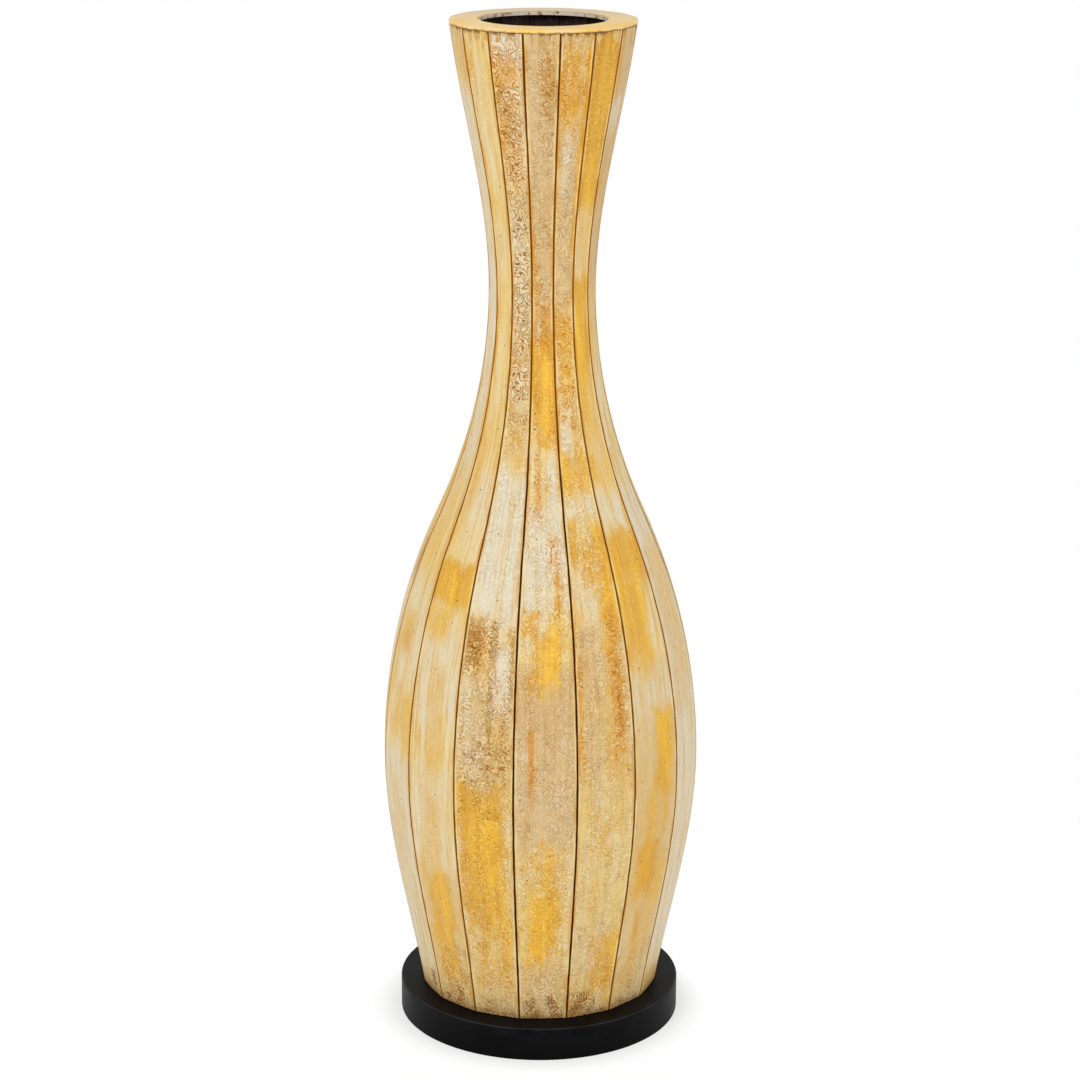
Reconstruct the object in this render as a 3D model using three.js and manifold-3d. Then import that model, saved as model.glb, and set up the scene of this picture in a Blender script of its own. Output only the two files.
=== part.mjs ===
// A tall floor vase, built the cooper's way: curved wooden staves round a floor plug, closed by a flat
// ring at the mouth and screwed down on a round plinth.
// Millimetres, +Z up. The origin is the centre of the plinth's underside, and -Y is the front.
import * as THREE from "three";
import { mergeVertices } from "three/addons/utils/BufferGeometryUtils.js";
import Module from "manifold-3d";

// Outline of the body, along a joint between two staves. A flare is the outline's slope, out for each
// millimetre up. The outline is level with the axis at the belly and at the neck.
const FOOT_RADIUS = 109;
const FOOT_FLARE = 0.17;
const FOOT_TO_BELLY = 222;
const BELLY_RADIUS = 144;
const BELLY_TO_SHOULDER = 222;
const SHOULDER_RADIUS = 94.8;
const SHOULDER_FLARE = -0.46;
const SHOULDER_TO_NECK = 208;
const NECK_RADIUS = 47.7;
const NECK_TO_MOUTH = 228;
const MOUTH_RADIUS = 81.8;
const MOUTH_FLARE = 0.135;

// Staves
const STAVE_COUNT = 16;
const STAVE_WALL = 12;
const FACE_CROWN = 0.4; // 0 leaves each face flat, 1 makes the body fully round
const MOUTH_TURN = -3; // degrees that the joints lean round between the shoulder and the mouth
const GROOVE_WIDTH = 0.6; // on each side of a joint
const GROOVE_DEPTH = 1.2;
const GLUE_LINE = 0.3;

// Rim ring
const RING_THICKNESS = 3.4;
const RING_OVERHANG = 13; // past the inside of the staves
const RING_OUTER_EASE = 1.2;
const RING_INNER_EASE = 0.7;

// Floor plug
const PLUG_THICKNESS = 18;

// Plinth
const PLINTH_LEDGE = 19.5; // past the foot of the body
const PLINTH_THICKNESS = 31;
const PLINTH_TOP_EASE = 2;
const PLINTH_FOOT_EASE = 0.8;

// Countersunk screws, from the underside of the plinth into the plug
const SCREW_COUNT = 4;
const SCREW_INSET = 34; // from the edge of the plug
const SCREW_RADIUS = 2.5;
const SCREW_HEAD_RADIUS = 4.8;
const SCREW_HEAD_LAND = 0.5;
const SCREW_POINT = 7;
const SCREW_SUNK = 1; // how far the heads lie inside the underside
const SCREW_COVER = 3.5; // wood left over the points
const SCREW_CLEARANCE = 0.3;
const CROSS_SPAN = 5;
const CROSS_WIDTH = 1.1;
const CROSS_DEPTH = 1.8;

// Fineness of the faceted surfaces
const STEPS_PER_SPAN = 8; // of a stave, from one station of the outline to the next
const FACE_STEPS = 3; // across a stave's face
const RING_STEPS = 6; // round the ring, for each stave
const EASE_STEPS = 3;
const PLINTH_SIDES = 96;
const SCREW_SIDES = 20;
const MERGE_DISTANCE = 1e-4;
const CUT_MARGIN = 1; // how far a cut starts outside the wood

// Colours
const CREAM = new THREE.Color(0xd9c08a);
const GOLD = new THREE.Color(0xd8a545);
const GILDING_STEP = 2.4; // radians, from the tone of one stave to that of the next
const RING_GOLD = 0xe0bb72;
const PLINTH_BLACK = 0x141414;
const STAINED_BROWN = 0x6b4c30;
const ZINC = 0x9a9a94;

const FULL_TURN = 2 * Math.PI;
const FRONT = -Math.PI / 2;
const HALF_STAVE = Math.PI / STAVE_COUNT;

// Stations of the outline, with heights above the foot of the staves.
const bellyHeight = FOOT_TO_BELLY;
const shoulderHeight = bellyHeight + BELLY_TO_SHOULDER;
const neckHeight = shoulderHeight + SHOULDER_TO_NECK;
const staveHeight = neckHeight + NECK_TO_MOUTH;
const stations = [
  { height: 0, radius: FOOT_RADIUS, flare: FOOT_FLARE },
  { height: bellyHeight, radius: BELLY_RADIUS, flare: 0 },
  { height: shoulderHeight, radius: SHOULDER_RADIUS, flare: SHOULDER_FLARE },
  { height: neckHeight, radius: NECK_RADIUS, flare: 0 },
  { height: staveHeight, radius: MOUTH_RADIUS, flare: MOUTH_FLARE },
];

// Levels above the table.
const footLevel = PLINTH_THICKNESS + GLUE_LINE;
const ringLevel = footLevel + staveHeight + GLUE_LINE;

// The outline's radius and flare at a height: one cubic curve from each station to the next, and a
// straight run past the mouth.
function outlineAt(height) {
  if (height >= staveHeight) {
    return { radius: MOUTH_RADIUS + MOUTH_FLARE * (height - staveHeight), flare: MOUTH_FLARE };
  }
  const upper = stations.findIndex((station) => station.height > height);
  const from = stations[upper - 1];
  const to = stations[upper];
  const span = to.height - from.height;
  const t = (height - from.height) / span;
  const rise = to.radius - from.radius;
  const bend = 3 * rise - span * (2 * from.flare + to.flare);
  const swing = span * (from.flare + to.flare) - 2 * rise;
  return {
    radius: from.radius + t * (span * from.flare + t * (bend + t * swing)),
    flare: from.flare + (t * (2 * bend + 3 * t * swing)) / span,
  };
}

// How far the joints have leaned round at a height.
function turnAt(height) {
  const lean = THREE.MathUtils.smoothstep(height, shoulderHeight, staveHeight);
  return THREE.MathUtils.degToRad(MOUTH_TURN) * lean;
}

// Distance from the axis to a stave's face, at an angle from the middle of the stave, where the joints
// lie at the given radius.
function faceRadius(jointRadius, angle) {
  const flat = Math.cos(HALF_STAVE) / Math.cos(angle);
  return jointRadius * THREE.MathUtils.lerp(flat, 1, FACE_CROWN);
}

// Distance from the axis to the middle of a stave's inner face.
function innerApothem(height) {
  const { radius, flare } = outlineAt(height);
  return radius * Math.cos(HALF_STAVE) - STAVE_WALL * Math.hypot(1, flare);
}

function polarPoint(radius, angle, level) {
  return new THREE.Vector3(radius * Math.cos(angle), radius * Math.sin(angle), level);
}

// A closed skin through loops of equally many points, each loop anticlockwise as seen from the next one:
// capped at both ends, or led round from the last loop to the first.
function loft(loops, capped) {
  const count = loops[0].length;
  const index = [];
  const bands = capped ? loops.length - 1 : loops.length;
  for (let band = 0; band < bands; band++) {
    const here = band * count;
    const next = ((band + 1) % loops.length) * count;
    for (let i = 0; i < count; i++) {
      const j = (i + 1) % count;
      index.push(here + i, here + j, next + j);
      index.push(here + i, next + j, next + i);
    }
  }
  if (capped) {
    const last = (loops.length - 1) * count;
    for (let i = 1; i < count - 1; i++) {
      index.push(0, i + 1, i);
      index.push(last, last + i, last + i + 1);
    }
  }
  const geometry = new THREE.BufferGeometry().setFromPoints(loops.flat());
  geometry.setIndex(index);
  return geometry;
}

// A profile of [radius, height] points, from the bottom to the top, turned round the Z axis.
function turned(profile, sides) {
  const points = profile.map(([radius, height]) => new THREE.Vector2(radius, height));
  return new THREE.LatheGeometry(points, sides).rotateX(Math.PI / 2);
}

// A quarter round of [radius, height] points about a centre, from one angle to another.
function quarterRound(radius, height, ease, from, to) {
  const points = [];
  for (let i = 0; i <= EASE_STEPS; i++) {
    const angle = THREE.MathUtils.lerp(from, to, i / EASE_STEPS);
    points.push([radius + ease * Math.cos(angle), height + ease * Math.sin(angle)]);
  }
  return points;
}

const wasm = await Module();
wasm.setup();

// A closed geometry as a solid that can be cut, with its shared corners merged.
function solidOf(geometry) {
  const bare = geometry.clone();
  bare.deleteAttribute("normal");
  bare.deleteAttribute("uv");
  const merged = mergeVertices(bare, MERGE_DISTANCE);
  const corners = merged.index.array;
  const triangles = [];
  for (let i = 0; i < corners.length; i += 3) {
    const [a, b, c] = corners.slice(i, i + 3);
    if (a !== b && b !== c && c !== a) triangles.push(a, b, c);
  }
  const mesh = new wasm.Mesh({
    numProp: 3,
    vertProperties: merged.attributes.position.array,
    triVerts: new Uint32Array(triangles),
  });
  return new wasm.Manifold(mesh);
}

// A body with the given tools cut out of it.
function cut(body, tools) {
  const solid = tools.reduce((left, tool) => left.subtract(solidOf(tool)), solidOf(body));
  const mesh = solid.getMesh();
  const geometry = new THREE.BufferGeometry();
  geometry.setAttribute("position", new THREE.BufferAttribute(mesh.vertProperties, 3));
  geometry.setIndex(new THREE.BufferAttribute(mesh.triVerts, 1));
  return geometry;
}

// One stave, lying round the +X direction with its foot at height 0. Its edges are mitred to the joint
// planes, set back by half a glue line, and its outer corners are eased to one side of the V groove.
function staveGeometry() {
  const setBack = GLUE_LINE / 2;
  const edgeAt = (distance) => {
    const y = distance * Math.tan(HALF_STAVE) - setBack / Math.cos(HALF_STAVE);
    return [distance, y];
  };
  const sectionAt = (height) => {
    const { radius } = outlineAt(height);
    const faceEnd = HALF_STAVE - Math.asin((setBack + GROOVE_WIDTH) / radius);
    const section = [];
    for (let i = 0; i <= FACE_STEPS; i++) {
      const angle = faceEnd * ((2 * i) / FACE_STEPS - 1);
      const distance = faceRadius(radius, angle);
      section.push([distance * Math.cos(angle), distance * Math.sin(angle)]);
    }
    const [grooveX, grooveY] = edgeAt(radius * Math.cos(HALF_STAVE) - GROOVE_DEPTH);
    const [innerX, innerY] = edgeAt(innerApothem(height));
    section.push([grooveX, grooveY], [innerX, innerY], [innerX, -innerY], [grooveX, -grooveY]);
    const axis = new THREE.Vector3(0, 0, 1);
    return section.map(([x, y]) => new THREE.Vector3(x, y, height).applyAxisAngle(axis, turnAt(height)));
  };
  const sections = [];
  for (let span = 1; span < stations.length; span++) {
    const from = stations[span - 1].height;
    const to = stations[span].height;
    for (let i = 0; i < STEPS_PER_SPAN; i++) {
      sections.push(sectionAt(THREE.MathUtils.lerp(from, to, i / STEPS_PER_SPAN)));
    }
  }
  sections.push(sectionAt(staveHeight));
  return loft(sections, true);
}

// The flat ring over the tops of the staves. Its outer edge carries the body's outline on, facets and
// all, and its opening is round.
function ringGeometry() {
  const openingRadius = innerApothem(staveHeight) - RING_OVERHANG;
  const outerEase = Math.min(RING_OUTER_EASE, RING_THICKNESS / 2);
  const innerEase = Math.min(RING_INNER_EASE, RING_THICKNESS / 2);
  const base = outlineAt(staveHeight + GLUE_LINE).radius;
  const top = outlineAt(staveHeight + GLUE_LINE + RING_THICKNESS).radius;
  const loops = [];
  for (let i = 0; i < STAVE_COUNT * RING_STEPS; i++) {
    const share = (i % RING_STEPS) / RING_STEPS;
    const fromMiddle = HALF_STAVE * (2 * share - 1);
    const angle = FRONT + turnAt(staveHeight) + HALF_STAVE * ((2 * i) / RING_STEPS - 1);
    const topRadius = faceRadius(top, fromMiddle);
    const innerRound = quarterRound(
      openingRadius + innerEase, RING_THICKNESS - innerEase, innerEase, Math.PI, Math.PI / 2);
    const outerRound = quarterRound(
      topRadius - outerEase, RING_THICKNESS - outerEase, outerEase, Math.PI / 2, 0);
    const profile = [[openingRadius, 0], ...innerRound, ...outerRound, [faceRadius(base, fromMiddle), 0]];
    loops.push(profile.map(([radius, height]) => polarPoint(radius, angle, height)));
  }
  return loft(loops, false);
}

// The distance from the axis to the middle of one of the plug's edges, which follow the staves inside.
const plugApothem = (height) => innerApothem(height) - GLUE_LINE;

// The screws stand on one circle, inset from the plug's edge.
const screwCircle = plugApothem(0) - SCREW_INSET;
const screwTip = footLevel + PLUG_THICKNESS - SCREW_COVER;

// A screw's outline from its head, at the start, up to its point, or the hole that takes it with a
// clearance all round.
function screwProfile(start, clearance) {
  const headRadius = SCREW_HEAD_RADIUS + clearance;
  const shankRadius = SCREW_RADIUS + clearance;
  const coneStart = SCREW_SUNK + SCREW_HEAD_LAND + clearance;
  const coneEnd = coneStart + SCREW_HEAD_RADIUS - SCREW_RADIUS;
  return [
    [0, start],
    [headRadius, start],
    [headRadius, coneStart],
    [shankRadius, coneEnd],
    [shankRadius, screwTip - SCREW_POINT],
    [0, screwTip + clearance],
  ];
}

function screwPlaces() {
  const places = [];
  for (let i = 0; i < SCREW_COUNT; i++) {
    places.push(polarPoint(screwCircle, FRONT + ((i + 0.5) * FULL_TURN) / SCREW_COUNT, 0));
  }
  return places;
}

function screwHoles() {
  const profile = screwProfile(-CUT_MARGIN, SCREW_CLEARANCE);
  return screwPlaces().map(({ x, y, z }) => turned(profile, SCREW_SIDES).translate(x, y, z));
}

function screwGeometry() {
  const recess = [
    [CROSS_SPAN, CROSS_WIDTH],
    [CROSS_WIDTH, CROSS_SPAN],
  ].map(([x, y]) => new THREE.BoxGeometry(x, y, 2 * CROSS_DEPTH).translate(0, 0, SCREW_SUNK));
  return cut(turned(screwProfile(SCREW_SUNK, 0), SCREW_SIDES), recess);
}

// The board inside the feet of the staves, with one tapered edge for each stave.
function plugGeometry() {
  const loopAt = (height) => {
    const loop = [];
    for (let i = 0; i < STAVE_COUNT; i++) {
      const angle = FRONT + HALF_STAVE * (2 * i + 1);
      loop.push(polarPoint(plugApothem(height) / Math.cos(HALF_STAVE), angle, footLevel + height));
    }
    return loop;
  };
  return cut(loft([loopAt(0), loopAt(PLUG_THICKNESS)], true), screwHoles());
}

// The round plinth, with both edges eased.
function plinthGeometry() {
  const radius = FOOT_RADIUS + PLINTH_LEDGE;
  const topEase = Math.min(PLINTH_TOP_EASE, PLINTH_THICKNESS / 3);
  const footEase = Math.min(PLINTH_FOOT_EASE, PLINTH_THICKNESS / 3);
  const profile = [
    [0, 0],
    [radius - footEase, 0],
    [radius, footEase],
    ...quarterRound(radius - topEase, PLINTH_THICKNESS - topEase, topEase, 0, Math.PI / 2),
    [0, PLINTH_THICKNESS],
  ];
  return cut(turned(profile, PLINTH_SIDES), screwHoles());
}

function part(name, geometry, finish) {
  const faceted = geometry.toNonIndexed();
  faceted.computeVertexNormals();
  const mesh = new THREE.Mesh(faceted, new THREE.MeshStandardMaterial({ metalness: 0, ...finish }));
  mesh.name = name;
  return mesh;
}

const group = new THREE.Group();
group.add(part("plinth", plinthGeometry(), { color: PLINTH_BLACK, roughness: 0.5 }));
group.add(part("floor_plug", plugGeometry(), { color: STAINED_BROWN, roughness: 0.8 }));

const body = new THREE.Group();
body.position.z = footLevel;
const stave = staveGeometry();
for (let i = 0; i < STAVE_COUNT; i++) {
  const gilding = 0.5 + 0.5 * Math.sin(GILDING_STEP * i);
  const color = new THREE.Color().lerpColors(CREAM, GOLD, gilding);
  const piece = part(`stave_${String(i + 1).padStart(2, "0")}`, stave, { color, roughness: 0.55 });
  piece.rotation.z = FRONT + 2 * HALF_STAVE * i;
  body.add(piece);
}
group.add(body);

const ring = part("rim_ring", ringGeometry(), { color: RING_GOLD, roughness: 0.45 });
ring.position.z = ringLevel;
group.add(ring);

screwPlaces().forEach((place, i) => {
  const finish = { color: ZINC, metalness: 1, roughness: 0.35 };
  const screw = part(`plinth_screw_${i + 1}`, screwGeometry(), finish);
  screw.position.copy(place);
  group.add(screw);
});

export default group;
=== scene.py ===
"""The striped vase: sixteen carved and lacquered staves, the ring over their tops and the black plinth."""

import math
import random

import bpy
import numpy as np
from mathutils import Matrix, Vector


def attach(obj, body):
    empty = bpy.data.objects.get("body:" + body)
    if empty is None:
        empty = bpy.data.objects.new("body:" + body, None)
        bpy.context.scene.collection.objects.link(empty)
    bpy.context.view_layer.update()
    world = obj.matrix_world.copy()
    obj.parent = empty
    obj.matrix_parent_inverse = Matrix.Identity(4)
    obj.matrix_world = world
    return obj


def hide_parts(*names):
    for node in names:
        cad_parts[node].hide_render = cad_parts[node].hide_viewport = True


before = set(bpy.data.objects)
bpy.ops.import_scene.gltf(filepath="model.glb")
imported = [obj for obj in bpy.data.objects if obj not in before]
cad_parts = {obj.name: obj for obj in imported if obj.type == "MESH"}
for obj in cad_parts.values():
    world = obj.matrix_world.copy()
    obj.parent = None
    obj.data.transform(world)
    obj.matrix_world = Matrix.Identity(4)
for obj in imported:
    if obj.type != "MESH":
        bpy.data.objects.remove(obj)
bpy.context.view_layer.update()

# The body. Heights are above the staves' feet, radii lie along a joint, and lengths are in metres.
STAVE_COUNT = 16
STAVE_LENGTH = 0.880
STAVE_WALL = 0.012
STATIONS = (  # the height, the radius and the flare there
    (0.000, 0.1090, 0.17),
    (0.222, 0.1440, 0.0),
    (0.444, 0.0948, -0.46),
    (0.652, 0.0477, 0.0),
    (0.880, 0.0818, 0.135),
)
FACE_CROWN = 0.4
MOUTH_TURN = math.radians(-3)
LEAN_START = 0.444
FOOT_LEVEL = 0.0313
GLUE_LINE = 0.0001
GROOVE_EASE = 0.0007
FRONT = -math.pi / 2
HALF_STAVE = math.pi / STAVE_COUNT
NEAR = 0.0001  # how far from a level a point still counts as on it

# How finely a stave is made
LEVELS = 110
FACE_STEPS = 6
ROWS_EACH = 5
COLUMNS_EACH = 4
END_REACH = 0.004  # points this near to an end of the body are brought level with it
SAW_CLEAR = 1.1  # in half staves from a stave's middle: all beyond is cut off
ON_SIDE = 0.95  # also in half staves: all beyond lies on a mitred side
CREASED_FROM = 16  # degrees
UPRIGHT_FROM = 0.6

# The carving
SKIN = 0.00016  # how far the ridges' tops lie inside the plain face
CARVING_DEPTH = 0.00045
GRAIN_DEPTH = 0.00014
WORM_SCALE = (120, 120, 120)
WORM_TURNS = 9
CURL_REACH = (0.0045, 0.0045, 0)
CURL_SCALE = (260, 260, 260)
PLAIN_EDGE = (0.0010, 0.0024)  # this near to a joint the face is plain, and this far from it, carved
FACE_FULL = 1.6  # the relief is full on the face and fades out down the sides
FACE_FADE = 0.0015
FINE_HEIGHTS = (0, 0.44, 0.6, 0.88)  # the worms are finer on the belly than on the neck
FINENESS = (1.15, 1.15, 1.0, 1.0)

# How a patch of paint fades and strays at its edges, across in half widths and up in millimetres
PLAN_TOP = 880
SIDE_FADE = 0.7
TOP_FADE = 26
BOTTOM_FADE = 70
SIDE_STRAY = 0.16
SIDE_WAVE = 14
END_STRAY = 8
END_WAVE = 0.25
STRAYS_FULLY_FROM = 60
STRAY_WAVES = ((1.0, 0.5), (2.3, 0.3), (5.2, 0.2))
NO_FADE = (9, 999)  # keeps a patch full where it runs off the stave

# How a stave's surface is laid out flat on a square sheet
SHEET_SIDE = 0.32
SHEET_COLUMNS = 3
COLUMN_PITCH = 0.083
INNER_PITCH = 0.018
INNER_SHARE = 0.28
INNER_FROM = 0.9  # in wall thicknesses under the face
SHEET_MARGIN = 0.01
END_MARGIN = 0.003
END_SHARE = 0.8
END_PLACES = (0.05, 0.15)

# The ring over the staves' tops
RING_LEVEL = 0.9116
RING_THICKNESS = 0.0034
RING_STEPS = 12
RING_OPENING = 0.0551
RING_FIRST_OPENING = 0.7  # as a share of the outside, before it is brought to its size
RING_INSET = 0.0001  # how far the ring's lower edge lies inside the staves' tops
RING_MARGIN = 0.001
RING_BAND = 0.004  # the ring's outer corner lies in a band this wide, and edges along it are shorter
RING_OUTER_EASE = 0.0012
RING_INNER_EASE = 0.0007

# The plinth and its screws
PLINTH_RADIUS = 0.1285
PLINTH_THICKNESS = 0.031
PLINTH_SIDES = 256
PLINTH_TOP_EASE = 0.002
PLINTH_FOOT_EASE = 0.0008
SCREW_COUNT = 4
SCREW_CIRCLE = 0.06043
SCREW_RADIUS = 0.0025
SCREW_HEAD_RADIUS = 0.0048
SCREW_SUNK = 0.001
SCREW_LAND = 0.0005
SCREW_LENGTH = 0.0448
SCREW_CLEARANCE = 0.0003
DRILL_RUNOUT = 0.001
DRIVE_REACH = 0.0027
DRIVE_WIDTH = 0.0009
DRIVE_DEPTH = 0.0018
SCREW_EDGE_EASE = 0.00008
SCREW_SHARP_FROM = 60  # degrees
TURNED_SIDES = 48

# Where the paints lie on the staves that the photograph shows, and how deeply those are carved: a
# stave's number, then patches of (left, right, top, bottom, strength). Left and right are in percent
# of half the width, and a patch without them goes right across. Top and bottom are in millimetres
# above the feet, and the strength is in percent.
WOOD_PLAN = {
    "tan": {
        1: [(880, 600, 85), (-30, 100, 860, 800, 100), (345, 175, 90), (65, 0, 50)],
        2: [(880, 600, 70), (380, 230, 60), (100, 0, 30)],
        3: [(335, 0, 45)],
        4: [(880, 640, 95), (640, 590, 40), (60, 0, 50)],
        14: [(880, 830, 40), (20, 0, 60)],
        15: [(140, 0, 40)],
        16: [(740, 690, 50), (565, 500, 50), (330, 225, 50), (60, 0, 40)],
    },
    "pale": {
        1: [(10, 90, 525, 460, 90), (475, 385, 90), (280, 180, 20), (-40, 100, 540, 500, 40)],
        2: [(-70, 0, 540, 515, 80), (480, 460, 60), (-100, 0, 420, 380, 60), (-60, 20, 800, 740, 50)],
        3: [(735, 668, 50), (482, 445, 60), (30, 100, 420, 345, 40), (330, 285, 40)],
        4: [(820, 790, 50), (600, 480, 45), (480, 30, 80)],
        14: [(830, 560, 80), (570, 470, 75), (400, 300, 40), (240, 15, 65)],
        15: [(0, 100, 500, 455, 60), (-100, 0, 480, 455, 50), (362, 270, 55), (240, 130, 40)],
        16: [(880, 850, 80), (-50, 100, 850, 760, 40), (720, 560, 35), (500, 385, 100),
             (20, 100, 405, 372, 110), (20, 75, 352, 300, 100), (-100, -20, 330, 240, 40)],
    },
    "gold": {
        1: [(-30, 100, 612, 525, 160), (-100, -30, 610, 530, 110), (-90, -20, 388, 368, 90),
            (-50, 60, 374, 320, 85), (35, 65, 420, 370, 80), (0, 25, 175, 125, 80), (-50, 50, 132, 65, 115),
            (-70, 70, 180, 60, 50)],
        2: [(62, 100, 860, 690, 140), (-100, 40, 870, 790, 70), (-100, -70, 860, 560, 50), (640, 560, 65),
            (516, 482, 70), (-90, -40, 462, 425, 90), (-40, 100, 446, 400, 75), (30, 100, 455, 360, 110),
            (-100, -80, 400, 290, 60), (10, 80, 370, 240, 60), (-50, 50, 210, 160, 40),
            (-20, 100, 85, 15, 75)],
        3: [(872, 735, 190), (740, 660, 45), (666, 575, 110), (-100, 0, 600, 530, 70), (575, 480, 35),
            (-100, -40, 515, 490, 80), (446, 400, 100), (-100, 30, 410, 330, 85), (0, 70, 290, 212, 110),
            (-80, 80, 215, 100, 50), (-60, 40, 168, 108, 100), (-50, 20, 110, 30, 60)],
        4: [(-100, -50, 760, 740, 70), (-100, -40, 660, 600, 50), (-80, 80, 430, 280, 40),
            (-100, -60, 510, 490, 60)],
        14: [(-85, 30, 366, 325, 55), (-40, 100, 302, 248, 45), (60, 100, 600, 400, 60),
             (-100, 40, 500, 400, 40), (40, 100, 870, 700, 30), (-60, 40, 220, 120, 30)],
        15: [(-80, -40, 862, 840, 70), (70, 100, 857, 835, 70), (-100, -60, 820, 560, 50),
             (60, 100, 720, 560, 50), (-90, -20, 530, 450, 60), (419, 385, 120), (-100, 20, 385, 350, 50),
             (-30, 40, 335, 220, 45), (-50, 40, 220, 140, 40), (-70, 60, 138, 15, 75)],
        16: [(-100, -60, 850, 760, 70), (-100, 60, 560, 500, 40), (-90, 70, 232, 85, 100),
             (0, 40, 225, 140, 120), (-40, -10, 100, 30, 80), (40, 80, 100, 30, 80), (-80, 80, 80, 25, 40)],
    },
    "amber": {
        1: [(-100, -80, 880, 855, 80), (0, 90, 856, 814, 50), (-100, -85, 845, 815, 80),
            (-100, -80, 725, 695, 80), (-100, -40, 676, 600, 95), (-20, 100, 645, 598, 105),
            (-60, -15, 512, 462, 70), (20, 70, 450, 422, 60), (30, 60, 425, 380, 50),
            (-55, -35, 290, 230, 110), (-100, -72, 700, 630, 110)],
        2: [(860, 798, 50), (642, 530, 35), (0, 50, 562, 518, 60), (35, 75, 385, 265, 95),
            (-100, -75, 350, 250, 90)],
        3: [(-60, 40, 165, 110, 40), (-30, 0, 100, 70, 60)],
        4: [(-100, -40, 880, 825, 60), (-100, -60, 765, 735, 60), (25, 0, 40)],
        14: [(20, 100, 878, 825, 50), (-85, 30, 350, 330, 40)],
        15: [(-100, -70, 640, 380, 30), (-30, 30, 25, 0, 60)],
        16: [(-100, 60, 868, 750, 75), (-100, 60, 640, 560, 40), (-90, 10, 376, 334, 75),
             (0, 80, 330, 235, 25)],
    },
    "umber": {
        1: [(-20, 90, 858, 800, 65), (-20, 50, 660, 610, 35), (-60, 50, 24, 0, 25)],
        2: [(858, 790, 20), (40, 65, 385, 270, 35), (-90, 20, 24, 0, 25)],
        3: [(-20, 20, 30, 10, 30)],
        4: [(-50, 80, 16, 0, 30)],
        14: [(30, 85, 30, 0, 30)],
        15: [(-30, 50, 26, 0, 35), (40, 80, 50, 18, 35)],
        16: [(-100, 20, 850, 760, 35), (720, 540, 30), (-100, -30, 378, 340, 110), (-5, 25, 374, 336, 100),
             (75, 100, 370, 310, 70), (5, 25, 325, 240, 80), (55, 75, 300, 235, 60),
             (-80, 80, 285, 200, 42), (-50, 50, 20, 0, 30)],
    },
    "sun": {
        1: [(-10, 100, 600, 512, 120), (-30, 40, 362, 325, 100), (-40, 40, 125, 75, 110)],
        2: [(40, 100, 440, 390, 80), (70, 100, 850, 700, 60)],
        3: [(840, 745, 50), (-60, 60, 650, 600, 60), (10, 60, 280, 225, 90), (-40, 20, 160, 115, 70)],
        15: [(-40, 30, 120, 50, 60), (-90, 20, 412, 392, 50)],
        16: [(-30, 40, 225, 120, 70)],
    },
    "dirt": {
        1: [(-75, -35, 18, 3, 75), (15, 55, 22, 6, 85), (4, 0, 60)],
        2: [(-90, -20, 24, 3, 90), (-30, 40, 12, 0, 70), (4, 0, 60)],
        3: [(-30, 30, 8, 0, 50)],
        14: [(30, 70, 24, 6, 70)],
        15: [(5, 40, 26, 6, 80), (-70, 0, 8, 0, 60)],
        16: [(-40, 30, 5, 0, 50), (-100, -40, 372, 350, 30)],
    },
    "carved": {
        1: [(880, 790, 50), (800, 600, 65), (600, 40, 55), (60, 0, 70)],
        2: [(880, 780, 45), (790, 500, 60), (500, 380, 50), (380, 0, 60), (90, 0, 65)],
        3: [(880, 0, 15), (880, 740, 50), (60, 0, 50)],
        4: [(880, 0, 12)],
        14: [(880, 0, 12), (50, 0, 40)],
        15: [(880, 0, 20), (880, 800, 35), (70, 0, 60)],
        16: [(880, 520, 92), (520, 380, 40), (380, 225, 70), (225, 0, 60)],
    },
}


def outline_at(height):
    """The body's radius along a joint at some heights: one cubic curve from each station to the next."""
    height = np.asarray(height, float)
    radius = np.full(height.shape, STATIONS[-1][1])
    for (low, start, start_flare), (high, end, end_flare) in zip(STATIONS, STATIONS[1:]):
        span = high - low
        t = (height - low) / span
        rise = end - start
        bend = 3 * rise - span * (2 * start_flare + end_flare)
        swing = span * (start_flare + end_flare) - 2 * rise
        curve = start + t * (span * start_flare + t * (bend + t * swing))
        radius = np.where((height >= low) & (height <= high), curve, radius)
    return radius


def turn_at(height):
    """How far the joints have leaned round at some heights."""
    t = np.clip((np.asarray(height, float) - LEAN_START) / (STAVE_LENGTH - LEAN_START), 0, 1)
    return MOUTH_TURN * t * t * (3 - 2 * t)


def crown_at(from_middle):
    """A face's distance from the axis, as a share of the joint's, at an angle from its middle."""
    return (1 - FACE_CROWN) * np.cos(HALF_STAVE) / np.cos(from_middle) + FACE_CROWN


def gather(parts, name, width=1, kind=float):
    """One value, or a row of width values, for each of a mesh's vertices, edges, corners or polygons."""
    values = np.empty(len(parts) * width, kind)
    parts.foreach_get(name, values)
    return values.reshape(-1, width) if width > 1 else values


def points_of(obj):
    return gather(obj.data.vertices, "co", 3)


def edges_of(obj):
    return gather(obj.data.edges, "vertices", 2, int)


def from_axis(points):
    return np.hypot(points[:, 0], points[:, 1])


def bearing(points):
    return np.arctan2(points[:, 1], points[:, 0]) - FRONT


def around(points):
    """Each point's distance from the axis, height above the feet and angle from its stave's middle."""
    height = points[:, 2] - FOOT_LEVEL
    angle = bearing(points) - turn_at(height)
    return from_axis(points), height, (angle + HALF_STAVE) % (2 * HALF_STAVE) - HALF_STAVE


def use_alone(obj):
    if bpy.context.mode != "OBJECT":
        bpy.ops.object.mode_set(mode="OBJECT")
    bpy.ops.object.select_all(action="DESELECT")
    obj.select_set(True)
    bpy.context.view_layer.objects.active = obj


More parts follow.
